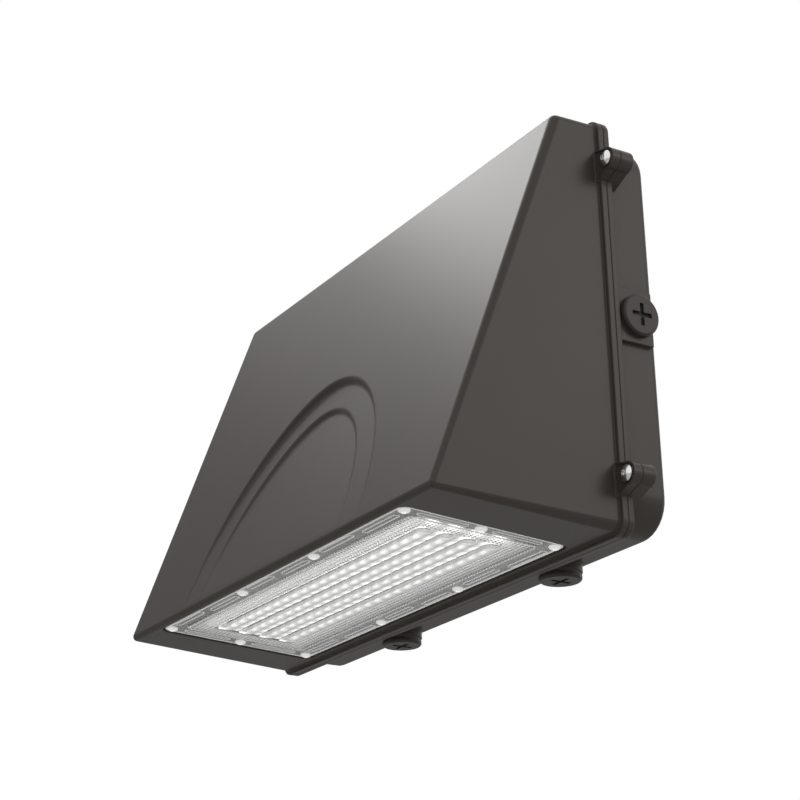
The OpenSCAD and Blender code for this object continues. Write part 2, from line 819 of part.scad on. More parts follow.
// Lens plate with a ridge over each LED row and a bead all round
module lens() {
    ridge_r = (ridge_w * ridge_w / 4 + ridge_h * ridge_h) / (2 * ridge_h);
    ridge_l = led_pitch * (led_count - 1) + 2 * ridge_end;
    color("#e8eaea", 0.5) difference() {
        union() {
            on_floor() translate([0, 0, lens_recess]) {
                linear_extrude(lens_t) rounded_rect(lens_w, lens_d, lens_corner_r);
                for (i = [0 : led_rows - 1])
                    translate([-ridge_l / 2, (i - (led_rows - 1) / 2) * row_pitch, 0])
                        intersection() {
                            translate([0, 0, ridge_r - ridge_h]) rotate([0, 90, 0])
                                cylinder(r = ridge_r, h = ridge_l);
                            translate([0, -ridge_w, -2 * ridge_h])
                                cube([ridge_l, 2 * ridge_w, 2 * ridge_h + lens_t / 2]);
                        }
                translate([0, 0, -bead_h]) linear_extrude(bead_h + lens_t / 2) difference() {
                    rounded_rect(lens_w - 2 * bead_in, lens_d - 2 * bead_in, lens_corner_r);
                    rounded_rect(lens_w - 2 * bead_in - 2 * bead_w, lens_d - 2 * bead_in - 2 * bead_w,
                        lens_corner_r - bead_w);
                }
            }
        }
        at_lens_screws() cylinder(r = lens_screw_r + hole_gap, h = floor_top);
    }
}

module lens_screws() {
    color("#d8d8d6") at_lens_screws() translate([0, 0, lens_recess]) rotate([180, 0, 0])
        pan_screw(lens_screw_r, floor_top - 2 * blind_t - lens_recess,
            lens_screw_head_r, lens_screw_head_h);
}

module led_board() {
    color("#f2f3f0") on_floor() translate([0, 0, board_face]) difference() {
        linear_extrude(board_t) rounded_rect(board_w, board_d, board_corner_r);
        at_board_screws() translate([0, 0, -over])
            cylinder(r = small_screw_r + hole_gap, h = board_t + 2 * over);
        board_lead_hole(board_face, board_t);
    }
}

// Hole for the lead through the board or its pad, which starts z above the underside
module board_lead_hole(z, t) {
    y = (lead_hole_y - rim_y - z * sin(floor_angle)) / cos(floor_angle) + lens_mid;
    translate([lead_x, y, -over]) cylinder(r = lead_r + hole_gap, h = t + 2 * over);
}

module leds() {
    color("#f6efc8") on_floor() for (i = [0 : led_count - 1], j = [0 : led_rows - 1])
        translate([(i - (led_count - 1) / 2) * led_pitch, (j - (led_rows - 1) / 2) * row_pitch, led_face])
            translate([-led_side / 2, -led_side / 2, 0]) cube([led_side, led_side, led_h]);
}

module board_screws() {
    color("#c9c9c6") on_floor() at_board_screws() translate([0, 0, board_face]) rotate([180, 0, 0])
        pan_screw(small_screw_r, board_t + pad_t + housing_wall - blind_t,
            small_head_r, led_h + led_gap / 2);
}

module thermal_pad() {
    color("#7c8b93") on_floor() translate([0, 0, pad_face]) difference() {
        linear_extrude(pad_t) rounded_rect(board_w, board_d, board_corner_r);
        at_board_screws() translate([0, 0, -over])
            cylinder(r = small_screw_r + hole_gap, h = pad_t + 2 * over);
        board_lead_hole(pad_face, pad_t);
    }
}

// Places of the screws through the tray, for the driver, the surge protector and the terminal block
function driver_screw_places() = [for (s = [-1, 1]) driver_x + s * (driver_end + tab_w / 2)];
function terminal_screw_places() = [for (s = [-1, 1]) terminal_x + s * terminal_screw_x];

module tray_hole(x, z, r) {
    bar_y(x, z, r, tray_y - over, tray_y + tray_t + over);
}

// Sheet tray that lies across the back of the front housing
module driver_tray() {
    fold_w = 2 * (tray_half_w - tray_fold_in);
    color("#b7babc") difference() {
        union() {
            along_y(tray_y, tray_y + tray_t) rounded_rect(2 * tray_half_w, tray_h, tray_corner_r);
            for (z = [-tray_h / 2, tray_h / 2 - tray_t])
                translate([-fold_w / 2, tray_y - tray_fold, z])
                    cube([fold_w, tray_fold + tray_t / 2, tray_t]);
        }
        at_tray_screws() bar_y(0, 0, small_screw_r + hole_gap, -over, tray_t + over);
        for (x = driver_screw_places()) tray_hole(x, -driver_drop, small_screw_r + turn_gap);
        tray_hole(surge_screw_x, surge_z, small_screw_r + turn_gap);
        for (x = terminal_screw_places()) tray_hole(x, terminal_z, small_screw_r + turn_gap);
        tray_hole(terminal_x, terminal_z, lead_r + hole_gap);
    }
}

module tray_screws() {
    color("#c9c9c6") at_tray_screws() translate([0, tray_t, 0]) rotate([-90, 0, 0])
        pan_screw(small_screw_r, small_screw_l, small_head_r, small_head_h);
}

// Potted driver with a tab at each end, on the front of the tray
module led_driver() {
    color("#d9dadb") difference() {
        translate([driver_x, 0, -driver_drop]) {
            along_y(tray_y - driver_d, tray_y) rounded_rect(driver_w, driver_h, case_r);
            along_y(tray_y - tab_t, tray_y) rounded_rect(driver_w + 2 * tab_w, driver_h / 2, case_r);
        }
        for (x = driver_screw_places())
            bar_y(x, -driver_drop, small_screw_r + hole_gap, tray_y - tab_t - over, tray_y + over);
    }
}

// Screw that holds a tab to the tray from the front
module tab_screw(x, z) {
    translate([x, tray_y - tab_t, z]) rotate([90, 0, 0])
        pan_screw(small_screw_r, tab_t + tray_t, small_head_r, small_head_h);
}

module driver_screws() {
    color("#c9c9c6") for (x = driver_screw_places()) tab_screw(x, -driver_drop);
}

// Surge protector with a tab at its right end, on the front of the tray
module surge_protector() {
    color("#33363a") difference() {
        translate([surge_x, 0, surge_z]) {
            along_y(tray_y - surge_d, tray_y) translate([-tab_w / 2, 0])
                rounded_rect(surge_w - tab_w, surge_h, case_r);
            along_y(tray_y - tab_t, tray_y) rounded_rect(surge_w, surge_h / 2, case_r);
        }
        bar_y(surge_screw_x, surge_z, small_screw_r + hole_gap, tray_y - tab_t - over, tray_y + over);
    }
}

module surge_screw() {
    color("#c9c9c6") tab_screw(surge_screw_x, surge_z);
}

// Three pole terminal block on the back of the tray
module terminal_block() {
    foot_y = tray_y + tray_t;
    color("#e9e6dc") difference() {
        translate([terminal_x, 0, terminal_z]) {
            along_y(foot_y, foot_y + terminal_d) rounded_rect(3 * terminal_pole, terminal_h, terminal_r);
            along_y(foot_y, foot_y + terminal_foot_t) rounded_rect(terminal_w, terminal_h / 2, terminal_r);
        }
        for (i = [-1, 0, 1]) let (x = terminal_x + i * terminal_pole) {
            translate([x, foot_y + terminal_d / 2, terminal_z - terminal_h])
                cylinder(r = terminal_hole_r, h = terminal_h);
            bar_y(x, terminal_z + terminal_h / 4, terminal_hole_r,
                foot_y + terminal_d / 2, foot_y + terminal_d + over);
        }
        bar_y(terminal_x, terminal_z, lead_r + hole_gap, tray_y, foot_y + lead_bite);
        for (x = terminal_screw_places())
            bar_y(x, terminal_z, small_screw_r + hole_gap, tray_y, foot_y + terminal_d);
    }
}

module terminal_screws() {
    color("#c9c9c6") for (x = terminal_screw_places())
        translate([x, tray_y + tray_t + terminal_foot_t, terminal_z]) rotate([-90, 0, 0])
            pan_screw(small_screw_r, terminal_foot_t + tray_t, small_head_r, small_head_h);
}

// The LED lead's place on the underside, with the lead itself upright
module at_lead_hole() {
    y = (lead_hole_y - rim_y - floor_top * sin(floor_angle)) / cos(floor_angle) + lens_mid;
    on_floor() translate([lead_x, y, 0]) children();
}

// Rubber grommet where the LED lead passes the floor of the housing
module lead_grommet() {
    color("#2b2b2d") difference() {
        at_lead_hole() {
            translate([0, 0, pocket_top]) cylinder(r = grommet_r - turn_gap, h = housing_wall + turn_gap);
            translate([0, 0, floor_top + turn_gap])
                cylinder(r = grommet_r + grommet_flange_w, h = grommet_flange_t);
        }
        translate([lead_x, lead_hole_y, -half_h]) cylinder(r = lead_r + turn_gap, h = housing_h / 2);
    }
}

// A quarter bend of a lead that sets off along +X from the origin and leaves along +Y
module quarter_bend() {
    translate([0, lead_bend_r, 0]) rotate([0, 0, -90])
        rotate_extrude(angle = 90) translate([lead_bend_r, 0]) circle(lead_r);
}

// Lead from the driver's right end, forwards and down through the grommet to the board
module led_lead() {
    start_x = driver_x + driver_end;
    y = tray_y - driver_d / 2;
    z = -driver_drop;
    bottom_z = floor_z(lead_hole_y, board_face);
    color("#f0f0ee") {
        bar_x(y, z, lead_r, start_x, lead_x - lead_bend_r);
        translate([lead_x - lead_bend_r, y, z]) rotate([180, 0, 0]) quarter_bend();
        bar_y(lead_x, z, lead_r, lead_hole_y + lead_bend_r, y - lead_bend_r);
        translate([lead_x, lead_hole_y + lead_bend_r, z]) rotate([-90, 0, -90]) quarter_bend();
        translate([lead_x, lead_hole_y, bottom_z]) cylinder(r = lead_r, h = z - lead_bend_r - bottom_z);
    }
}

// Lead from the driver's left end up to the surge protector
module driver_lead() {
    start_x = driver_x - driver_end;
    y = tray_y - driver_d / 2;
    z = -driver_drop;
    color("#2f3033") {
        bar_x(y, z, lead_r, start_x - lead_run, start_x);
        translate([start_x - lead_run, y, z]) rotate([90, 0, 180]) quarter_bend();
        translate([start_x - lead_run - lead_bend_r, y, z + lead_bend_r])
            cylinder(r = lead_r, h = surge_z - surge_h / 2 - z - lead_bend_r);
    }
}

// Lead from the surge protector through the tray into the terminal block
module surge_lead() {
    start_x = surge_x + surge_w / 2 - tab_w;
    y = tray_y - surge_d / 2;
    color("#2f3033") {
        bar_x(y, surge_z, lead_r, start_x, terminal_x - lead_bend_r);
        translate([terminal_x - lead_bend_r, y, surge_z]) quarter_bend();
        bar_y(terminal_x, surge_z, lead_r, y + lead_bend_r, tray_y + tray_t + lead_bite);
    }
}

// Captive screw at a height, its head in the pocket of the front lug
module captive_screw(z) {
    seat = lug_face_y + lug_pocket_t - washer_t;
    color("#d9d9d7") translate([captive_x, seat, z]) rotate([90, 0, 0]) difference() {
        union() {
            translate([0, 0, -captive_l]) cylinder(r = captive_r, h = captive_l + captive_rim);
            intersection() {
                translate([0, 0, captive_head_h - captive_dome_r]) sphere(captive_dome_r);
                cylinder(r = captive_head_r, h = captive_head_h);
            }
        }
        translate([0, 0, captive_head_h - hex_t]) cylinder(r = hex_r, h = hex_t + over, $fn = 6);
    }
}

// Washer under the head of a captive screw, on the floor of the lug's pocket
module captive_washer(z) {
    color("#c4c4c1") difference() {
        floor_y = lug_face_y + lug_pocket_t;
        bar_y(captive_x, z, captive_head_r, floor_y - washer_t, floor_y);
        bar_y(captive_x, z, captive_r + turn_gap, floor_y - washer_t - over, floor_y + over);
    }
}

module captive_screw_upper() { captive_screw(lug_z); }
module captive_screw_lower() { captive_screw(-lug_z); }
module captive_washer_upper() { captive_washer(lug_z); }
module captive_washer_lower() { captive_washer(-lug_z); }

// Conduit plug with a crossed slot, its ring's outer face at the origin and its thread along -Z
module plug() {
    color("#4d4743") difference() {
        union() {
            translate([0, 0, -plug_l]) cylinder(r = plug_r, h = plug_l + plug_head_t / 2);
            rotate_extrude() polygon([
                [0, 0],
                [plug_head_r, 0],
                [plug_head_r, plug_head_t - plug_chamfer],
                [plug_head_r - plug_chamfer, plug_head_t],
                [0, plug_head_t]]);
        }
        for (a = [0, 90]) rotate([0, 0, a])
            translate([-plug_slot_l / 2, -plug_slot_w / 2, plug_head_t - plug_slot_t])
                cube([plug_slot_l, plug_slot_w, plug_slot_t + over]);
    }
}

module plug_ring() {
    color("#2b2b2d") translate([0, 0, -ring_t]) difference() {
        cylinder(r = plug_head_r - ring_in, h = ring_t);
        translate([0, 0, -over]) cylinder(r = plug_r + turn_gap, h = ring_t + 2 * over);
    }
}

module at_side_plug() {
    translate([box_half_w + side_pad_t + ring_t, plug_y, side_plug_z]) rotate([0, 90, 0]) children();
}

module at_bottom_plug(x) {
    translate([x, plug_y, -box_half_h - boss_l - ring_t]) rotate([180, 0, 0]) children();
}

module plug_side() { at_side_plug() plug(); }
module plug_ring_side() { at_side_plug() plug_ring(); }
module plug_bottom_right() { at_bottom_plug(right_plug_x) plug(); }
module plug_ring_bottom_right() { at_bottom_plug(right_plug_x) plug_ring(); }
module plug_bottom_left() { at_bottom_plug(left_plug_x) plug(); }
module plug_ring_bottom_left() { at_bottom_plug(left_plug_x) plug_ring(); }

back_box();
wall_seal();
housing_gasket();
hinge_pins();
ground_screw();
front_housing();
lens_gasket();
lens();
lens_screws();
led_board();
leds();
board_screws();
thermal_pad();
driver_tray();
tray_screws();
led_driver();
driver_screws();
surge_protector();
surge_screw();
terminal_block();
terminal_screws();
lead_grommet();
led_lead();
driver_lead();
surge_lead();
captive_screw_upper();
captive_washer_upper();
captive_screw_lower();
captive_washer_lower();
plug_side();
plug_ring_side();
plug_bottom_right();
plug_ring_bottom_right();
plug_bottom_left();
plug_ring_bottom_left();
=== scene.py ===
"""Wall pack light: soft castings with sunk arches, a prismatic lens, LEDs and finishes for every piece."""
import math

import bmesh
import bpy
import numpy as np
from mathutils import Matrix, Vector


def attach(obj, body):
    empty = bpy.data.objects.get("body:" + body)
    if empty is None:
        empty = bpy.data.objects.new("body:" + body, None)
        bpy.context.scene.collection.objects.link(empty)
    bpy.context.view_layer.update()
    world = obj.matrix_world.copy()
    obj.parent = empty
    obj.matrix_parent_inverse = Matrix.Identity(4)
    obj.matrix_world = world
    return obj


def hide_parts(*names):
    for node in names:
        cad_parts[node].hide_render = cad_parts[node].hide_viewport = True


MM = 0.001

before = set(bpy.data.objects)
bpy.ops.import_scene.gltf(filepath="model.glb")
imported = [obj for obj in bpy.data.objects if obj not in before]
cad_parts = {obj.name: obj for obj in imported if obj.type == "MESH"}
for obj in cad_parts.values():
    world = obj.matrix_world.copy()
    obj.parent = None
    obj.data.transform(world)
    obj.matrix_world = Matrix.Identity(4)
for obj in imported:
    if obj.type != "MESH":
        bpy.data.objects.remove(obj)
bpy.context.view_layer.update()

# Camera: the photograph's viewpoint, from its straight edges
CAMERA_PLACE = Vector((0.9257, -0.6425, -0.4151))
CAMERA_FORWARD = Vector((-0.787, 0.5001, 0.3613))
CAMERA_DOWN = Vector((-0.3168, 0.1749, -0.9322))
CAMERA_LENS = 86.7
CAMERA_SENSOR = 36.0

# Stage, in metres: the world's light, the floor, and a grey card that stands across x
WORLD_LIGHT = 0.8
FLOOR_HALF = 40.0
FLOOR_Z = -2.6
FLOOR_LIFT = 0.5  # light that the floor adds for the camera alone
CARD_X = -1.7
CARD_FRONT = -1.7
CARD_BACK = 1.5
CARD_LOW = -0.7
CARD_HIGH = 1.15

# All sizes from here on are in mm

# Lens plate
LENS_HALF_W = 141.0
LENS_HALF_D = 52.0
LENS_CORNER = 5.0
LENS_FACE = 1.2  # outer face, as a height over the housing's underside
LENS_BACK = 3.7  # back, as the same height
LENS_GAP = 6.0  # to the nose
LENS_COLUMNS = 501
LENS_ROWS = 186

# Underside of the housing
HALF_H = 120.0
RIM_Y = -34.8
FLOOR_RISE = 7.5
FLOOR_RUN = 115.0
FLOOR_ANGLE = math.atan2(FLOOR_RISE, FLOOR_RUN)
LENS_MID = FLOOR_RUN / math.cos(FLOOR_ANGLE) - LENS_GAP - LENS_HALF_D  # from the rim, along the floor

# Slope of the housing, which starts at the nose
NOSE_Y = -149.8
NOSE_Z = -112.5
SLOPE_RISE = 232.5
SLOPE_RUN = 88.0
SLOPE_ANGLE = math.atan2(SLOPE_RISE, SLOPE_RUN)

# Faces of the CAD slope that the arch panel stands for: those near its plane that look straight out, and
# those that look out at all inside a zone just larger than the arches
SLOPE_NEAR = 0.06
SLOPE_FACING = 0.9995
ZONE_HALF_W = 106.0
ZONE_FOOT = 5.0
ZONE_TOP = 135.0
ZONE_DEPTH = 9.0
ZONE_FACING = 0.3
BORDER_NEAR = 0.1  # corners this near the plane are the panel's border

# Arches: half width, rise and depth of each, the inner one sunk in the floor of the outer one
OUTER_ARCH = (101.0, 131.5, 3.5)
INNER_ARCH = (80.5, 111.5, 2.2)
ARCH_FOOT = 6.0  # above the nose
ARCH_SOFT = 0.45  # softness of the walls
ARCH_LEAN = 0.75  # how far a wall leans in for each mm of its depth
ARCH_POWER = 1.89  # of the outline, a little more pointed than an ellipse's 2
ARCH_FADE = 1.5  # height over which they fade in above the lower border
TINY = 1e-6  # smallest divisor in their formula

# Grid of the arch panel: fine round the arches, coarse beside and above them
FINE_HALF_W = 108.0
FINE_TOP = 136.0
FINE_ROWS = 220
FINE_COLUMNS = 361
FIRST_ROW = 0.6  # height of the second row over the lower border
COARSE_FOOT = 140.0
COARSE_ROWS = 12
COARSE_COLUMNS = 8
COARSE_START = 0.02  # gap beside the fine part, as a share of the coarse part's width

# Rounding of edges
SHARP = math.radians(35)  # angle from which an edge is rounded
CASTING_ROUND = 0.6
THIN_SHARE = 0.3  # share of the rounding that a thin lip gets
WELD = 0.002  # corners nearer than this are one
FLAT = math.radians(0.4)  # faces that meet at less than this are one

# Thin lips: those of the screw lugs' pockets lie beyond this x and in front of this y, and those
# between the conduit bosses and the wall lie behind this y
LUG_LIP_X = 180.1
LUG_LIP_Y = -35.7
WALL_LIP_Y = -1.2

# Crossed slots of a plug, which get painted shade
PLUG_HEAD = 4.0  # thickness of the head
CROSS_NEAR = 0.2  # least depth of their faces below the head's outer face
CROSS_FAR = 1.8  # greatest depth
CROSS_REACH = 7.0  # from the head's middle

# LEDs
ROWS = (-1.5, -0.5, 0.5, 1.5)
ROW_PITCH = 14.3
LED_PITCH = 11.05
LED_COUNT = 21
LED_FACE = 4.5  # outer face, as a height over the housing's underside
LED_BACK = 5.3  # back, on the board
LED_SIDES = 16
LED_SQUARE = 5  # power that makes a circle a rounded square

# Profiles of an LED as half side and height: the white body, and the dome on its face
LED_BODY = ((1.35, LED_FACE), (1.6, LED_FACE), (1.75, LED_FACE + 0.12), (1.75, LED_BACK))
LED_DOME = ((0.35, LED_FACE - 0.22), (0.9, LED_FACE - 0.18), (1.2, LED_FACE - 0.1), (1.35, LED_FACE),
            (1.35, LED_FACE + 0.05))

# Ridges of the lens over the LED rows
RIDGE_CROWN = 0.6
RIDGE_HALF_W = 5.2
RIDGE_END = 119.0  # half length
RIDGE_RUNOUT = 6.5  # length over which an end runs out

# Prisms of the lens, in a band round the rows
PRISM_PITCH = 2.6
PRISM_HEIGHT = 0.42
PRISM_FROM_X = 119.3  # inner half sides of the band
PRISM_FROM_Y = 26.6
PRISM_INSET = 13.2  # outer edge of the band, from the lens's edge
PRISM_SOFT = 0.6  # width over which the band begins and ends

# Ribs on the lens: width and height of the edge lip, and of the bead and the slots
LIP = (1.6, 0.6)
FINE_RIB = (0.9, 0.5)
RIB_FOOT = 0.05  # how deep their feet lie in the plate
RIB_POINTS = 7
LIP_INSET = 1.0
LIP_STEP = 1.0

# Waved bead inside the screws
BEAD_HALF_W = 129.2
BEAD_HALF_D = 40.2
BEAD_CORNER = 3.0
BEAD_STEP = 0.5
WAVE_POINTS = 6  # points in one wave
WAVE_SWING = 0.012  # as a share of the half depth
WAVE_POWER = 0.3  # gives the longer half width the same swing

# Long slots between the screws, and at the ends of the lens
SCREW_X = (-135.3, -41.94, 41.94, 135.3)
SLOT_HALF_W = 1.6
SLOT_CORNER = 1.59
SLOT_STEP = 0.8
SLOT_SCREW_GAP = 9.0
SLOT_MID_GAP = 4.0  # from the middle between two screws
SLOT_IN = 45.8  # distances from the lens's middle
SLOT_OUT = 48.0
END_SLOT_X = 134.8
END_SLOT_FROM = 8.0
END_SLOT_TO = 39.0


def make_camera():
    """Camera whose own axes are right, up and back, from the forward and down directions."""
    data = bpy.data.cameras.new("photo_camera")
    data.lens = CAMERA_LENS
    data.sensor_width = CAMERA_SENSOR
    camera = bpy.data.objects.new("photo_camera", data)
    bpy.context.collection.objects.link(camera)
    forward = CAMERA_FORWARD.normalized()
    right = CAMERA_DOWN.cross(forward).normalized()
    up = right.cross(forward)
    turn = Matrix((right, up, -forward)).transposed()
    camera.matrix_world = Matrix.Translation(CAMERA_PLACE) @ turn.to_4x4()
    bpy.context.scene.camera = camera


def linear(hex_colour):
    """The sRGB hex colour as linear RGBA."""
    parts = [int(hex_colour[i:i + 2], 16) / 255 for i in (1, 3, 5)]
    flat = [c / 12.92 if c <= 0.04045 else ((c + 0.055) / 1.055) ** 2.4 for c in parts]
    return (*flat, 1.0)


WHITE = linear("#FFFFFF")
BLACK = linear("#000000")


def add(tree, kind, sources=(), **settings):
    """Adds a node and sets its properties or inputs by name. Each (input, source) pair links a socket,
    or sets a plain value."""
    node = tree.nodes.new(kind)
    for name, value in settings.items():
        if hasattr(node, name):
            setattr(node, name, value)
        else:
            node.inputs[name.replace("_", " ")].default_value = value
    for key, source in sources:
        if isinstance(source, bpy.types.NodeSocket):
            tree.links.new(source, node.inputs[key])
        else:
            node.inputs[key].default_value = source
    return node


def new_material(name, **values):
    """Material with its tree, its Principled shader set to the values, and Object coordinates."""
    material = bpy.data.materials.new(name)
    material.use_nodes = True
    tree = material.node_tree
    shader = tree.nodes["Principled BSDF"]
    for socket, value in values.items():
        shader.inputs[socket.replace("_", " ")].default_value = value
    place = tree.nodes.new("ShaderNodeTexCoord").outputs["Object"]
    return material, tree, shader, place


def grained(name, colour, light_colour, cloud, grain, depth, strength, **values):
    """Finish with two tints in clouds of one size and a fine bump of another, sizes in mm."""
    material, tree, shader, place = new_material(name, **values)
    clouds = add(tree, "ShaderNodeTexNoise", [("Vector", place)], Scale=1 / (cloud * MM), Detail=2.0)
    tint = add(tree, "ShaderNodeMix", [("Factor", clouds.outputs["Fac"]), ("A", linear(colour)),
                                       ("B", linear(light_colour))], data_type="RGBA")
    tree.links.new(tint.outputs["Result"], shader.inputs["Base Color"])
    fine = add(tree, "ShaderNodeTexNoise", [("Vector", place)], Scale=1 / (grain * MM), Detail=3.0)
    bump = add(tree, "ShaderNodeBump", [("Height", fine.outputs["Fac"])],
               Strength=strength, Distance=depth * MM)
    tree.links.new(bump.outputs["Normal"], shader.inputs["Normal"])
    return material


def spangled(name, colour, light_colour, flake, **values):
    """Hot-dip zinc on steel sheet: flat crystals of one size in mm, each its own shade of grey."""
    material, tree, shader, place = new_material(name, **values)
    cells = add(tree, "ShaderNodeTexVoronoi", [("Vector", place)], Scale=1 / (flake * MM))
    shade = add(tree, "ShaderNodeSeparateColor", [("Color", cells.outputs["Color"])])
    tint = add(tree, "ShaderNodeMix", [("Factor", shade.outputs["Red"]), ("A", linear(colour)),
                                       ("B", linear(light_colour))], data_type="RGBA")
    tree.links.new(tint.outputs["Result"], shader.inputs["Base Color"])
    return material


def raised_cosine(tree, along, pitch, crest):
    """0.5 + 0.5 cos(2 pi (d - crest) / pitch) of a distance socket in metres, with sizes in mm."""
    phase = add(tree, "ShaderNodeMath", [(0, along), (1, 2 * math.pi / (pitch * MM)),
                                         (2, -2 * math.pi * crest / pitch)], operation="MULTIPLY_ADD")
    wave = add(tree, "ShaderNodeMath", [(0, phase.outputs[0])], operation="COSINE")
    raised = add(tree, "ShaderNodeMath", [(0, wave.outputs[0]), (1, 0.5), (2, 0.5)],
                 operation="MULTIPLY_ADD")
    return raised.outputs[0]


def underside_waves(tree, place, pitch_x, pitch_y, y, z):
    """Raised cosines across and along the rows, on a face at height z of the underside's frame, with
    their crests at y and at x 0."""
    split = add(tree, "ShaderNodeSeparateXYZ", [("Vector", place)])
    slant, lean = math.cos(FLOOR_ANGLE), math.sin(FLOOR_ANGLE)
    crest = RIM_Y + (y - LENS_MID) * slant + z * lean
    across = raised_cosine(tree, split.outputs["Y"], pitch_y * slant, crest)
    along = raised_cosine(tree, split.outputs["X"], pitch_x, 0)
    return across, along


def board_ink_painted_light(name, colour, glow, strength, **values):
    """White board ink with painted light from its own LEDs, as emission of 0.16 + a (0.3 + 0.54 b), where
    a is a raised cosine across the rows and b is one along them."""
    material, tree, shader, place = new_material(
        name, Base_Color=linear(colour), Emission_Strength=strength, **values)
    across, along = underside_waves(tree, place, LED_PITCH, ROW_PITCH, ROW_PITCH / 2, LED_BACK)
    swell = add(tree, "ShaderNodeMath", [(0, along), (1, 0.54), (2, 0.3)], operation="MULTIPLY_ADD")
    both = add(tree, "ShaderNodeMath", [(0, across), (1, swell.outputs[0]), (2, 0.16)],
               operation="MULTIPLY_ADD")
    lit = add(tree, "ShaderNodeMix", [("Factor", both.outputs[0]), ("A", BLACK), ("B", linear(glow))],
              data_type="RGBA")
    tree.links.new(lit.outputs["Result"], shader.inputs["Emission Color"])
    return material


def prisms_painted_glints(name, colour, glow, strength, **values):
    """Clear plastic with painted glints on its prism tips, as emission of 0.1 + 0.9 a b, where a and b are
    raised cosines across and along."""
    material, tree, shader, place = new_material(
        name, Base_Color=linear(colour), Emission_Strength=strength, **values)
    across, along = underside_waves(tree, place, PRISM_PITCH, PRISM_PITCH, 0, LENS_FACE)
    both = add(tree, "ShaderNodeMath", [(0, across), (1, along)], operation="MULTIPLY")
    lifted = add(tree, "ShaderNodeMath", [(0, both.outputs[0]), (1, 0.9), (2, 0.1)],
                 operation="MULTIPLY_ADD")
    lit = add(tree, "ShaderNodeMix", [("Factor", lifted.outputs[0]), ("A", BLACK), ("B", linear(glow))],
              data_type="RGBA")
    tree.links.new(lit.outputs["Result"], shader.inputs["Emission Color"])
    return material


def make_world():
    """White for camera, glossy and transmission rays; a plain grey light for everything else."""
    world = bpy.data.worlds.new("studio")
    bpy.context.scene.world = world
    world.use_nodes = True
    tree = world.node_tree
    tree.nodes.clear()
    path = tree.nodes.new("ShaderNodeLightPath").outputs
    seen = add(tree, "ShaderNodeMath", [(0, path["Is Camera Ray"]), (1, path["Is Glossy Ray"])],
               operation="MAXIMUM")
    either = add(tree, "ShaderNodeMath", [(0, seen.outputs[0]), (1, path["Is Transmission Ray"])],
                 operation="MAXIMUM")
    plain = add(tree, "ShaderNodeBackground", Color=WHITE, Strength=WORLD_LIGHT)
    white = add(tree, "ShaderNodeBackground", Color=WHITE, Strength=1.0)
    mix = add(tree, "ShaderNodeMixShader", [(0, either.outputs[0]), (1, plain.outputs[0]),
                                            (2, white.outputs[0])])
    add(tree, "ShaderNodeOutputWorld", [(0, mix.outputs[0])])


def area_light(name, place, target, size, power):
    """Square soft box at a place, facing a target."""
    data = bpy.data.lights.new(name, "AREA")
    data.shape = "SQUARE"
    data.size = size
    data.energy = power
    lamp = bpy.data.objects.new(name, data)
    bpy.context.collection.objects.link(lamp)
    place = Vector(place)
    lamp.location = place
    lamp.rotation_euler = (Vector(target) - place).to_track_quat("-Z", "Y").to_euler()


def surface(name, points, faces, smooth=True):
    """Mesh from rows of points and lists of corner numbers."""
    mesh = bpy.data.meshes.new(name)
    mesh.from_pydata(points, [], faces)
    mesh.polygons.foreach_set("use_smooth", np.full(len(mesh.polygons), smooth, dtype=bool))
    mesh.update()
    return mesh


def new_object(mesh, material, body):
    """Piece with its mesh's name, a material and a material slot, that rides on a body."""
    piece = bpy.data.objects.new(mesh.name, mesh)
    bpy.context.collection.objects.link(piece)
    mesh.materials.append(material)
    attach(piece, body)
    return piece


def stage_sheet(name, corners, material):
    """Flat sheet of the stage that the light is shown on."""
    mesh = surface(name, corners, [(0, 1, 2, 3)])
    mesh.materials.append(material)
    sheet = bpy.data.objects.new(name, mesh)
    bpy.context.collection.objects.link(sheet)
    return sheet


def finish_edges(piece, width, segments, limit="ANGLE"):
    """Rounds every sharp edge, or each edge by its weight, by a width in mm, and lets the large faces
    lead the shading."""
    bevel = piece.modifiers.new("rounding", "BEVEL")
    bevel.width = width * MM
    bevel.segments = segments
    bevel.limit_method = limit
    bevel.angle_limit = SHARP
    bevel.use_clamp_overlap = False
    bevel.miter_outer = "MITER_ARC"
    shading = piece.modifiers.new("shading", "WEIGHTED_NORMAL")
    shading.mode = "FACE_AREA"
    shading.weight = 80


def weigh_edges(shape, is_thin):
    """Gives each sharp edge of a shape its share of the rounding: less where the wall is thin."""
    weight = shape.edges.layers.float.new("bevel_weight_edge")
    for edge in shape.edges:
        if edge.is_manifold and edge.calc_face_angle() > SHARP:
            thin = is_thin((edge.verts[0].co + edge.verts[1].co) / 2 / MM)
            edge[weight] = THIN_SHARE if thin else 1


def merged_shape(node):
    """Copy of a CAD node's mesh with its loose triangles joined at their corners."""
    shape = bmesh.new()
    shape.from_mesh(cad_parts[node].data)
    bmesh.ops.remove_doubles(shape, verts=shape.verts, dist=WELD * MM)
    return shape


def finished_mesh(shape, name):
    """Mesh of whole flat faces, smooth shaded, from a merged shape."""
    bmesh.ops.dissolve_limit(shape, angle_limit=FLAT, verts=shape.verts, edges=shape.edges)
    mesh = bpy.data.meshes.new(name)
    shape.to_mesh(mesh)
    shape.free()
    mesh.polygons.foreach_set("use_smooth", np.ones(len(mesh.polygons), dtype=bool))
    return mesh


def rounded_copy(node, body, material, width):
    """Piece that stands for a CAD node with every sharp edge rounded by a width in mm."""
    piece = new_object(finished_mesh(merged_shape(node), "soft_" + node), material, body)
    finish_edges(piece, width, segments=2)
    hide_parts(node)
    return piece


